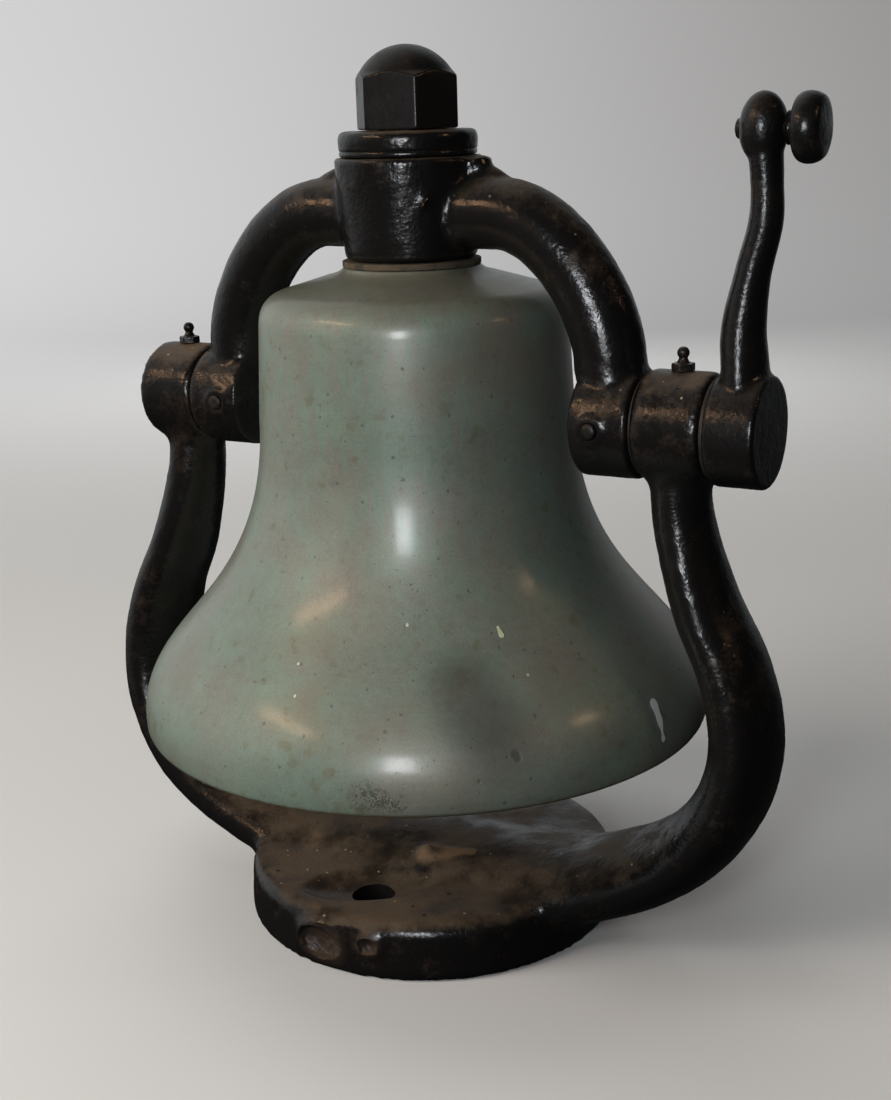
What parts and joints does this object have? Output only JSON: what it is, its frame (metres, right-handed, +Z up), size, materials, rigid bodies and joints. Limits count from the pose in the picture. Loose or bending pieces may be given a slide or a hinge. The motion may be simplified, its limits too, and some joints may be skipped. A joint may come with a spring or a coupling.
{
  "type": "yard dinner bell",
  "caption": "Bronze bell bolted under a cast yoke that swings on trunnions in a lyre-shaped cast stand with a round foot, rung by a cranked lever with a knob, with a pinned clapper inside.",
  "frame": {"origin": "centre of the round foot's flat underside, straight below the bell's axis", "axes": "+X along the trunnion axis towards the crank, +Y towards the back, +Z up the bell's axis"},
  "size_m": [0.448, 0.33, 0.498],
  "materials": {
    "enamelled_iron": "thick gloss black enamel over rough castings, dusty on top",
    "bell_bronze": "turned bronze with a pale grey-green patina, satin",
    "bearing_bronze": "machined bronze with grease",
    "turned_steel": "turned steel, lightly oiled",
    "forged_steel": "forged iron with dry brown rust",
    "fibre": "dull tan fibre"
  },
  "bodies": {
    "stand": {"stand_casting": "enamelled_iron", "left_bearing_bush": "bearing_bronze", "right_bearing_bush": "bearing_bronze", "left_grease_nipple": "enamelled_iron", "right_grease_nipple": "enamelled_iron"},
    "yoke": {"yoke_casting": "enamelled_iron", "left_trunnion_shaft": "turned_steel", "right_trunnion_shaft": "turned_steel", "left_taper_pin": "enamelled_iron", "right_taper_pin": "enamelled_iron", "left_thrust_washer": "turned_steel", "right_thrust_washer": "turned_steel", "crank_washer": "turned_steel", "crank_arm": "enamelled_iron", "crank_key": "turned_steel", "crank_knob": "enamelled_iron", "bell_shell": "bell_bronze", "crown_gasket": "fibre", "collar_washer": "enamelled_iron", "dome_nut": "enamelled_iron", "clapper_bolt": "forged_steel", "crown_washer": "forged_steel", "clapper_pin": "turned_steel", "clapper_split_pin": "turned_steel"},
    "clapper": {"clapper": "forged_steel", "clapper_bush": "bearing_bronze"}
  },
  "joints": [
    {"name": "yoke_swing", "type": "hinge", "parent": "stand", "child": "yoke", "pos_m": [0, 0, 0.30143], "axis": [1, 0, 0], "range_deg": [-160, 160]},
    {"name": "clapper_swing", "type": "hinge", "parent": "yoke", "child": "clapper", "pos_m": [0, 0, 0.33403], "axis": [1, 0, 0], "range_deg": [-29, 29]}
  ]
}
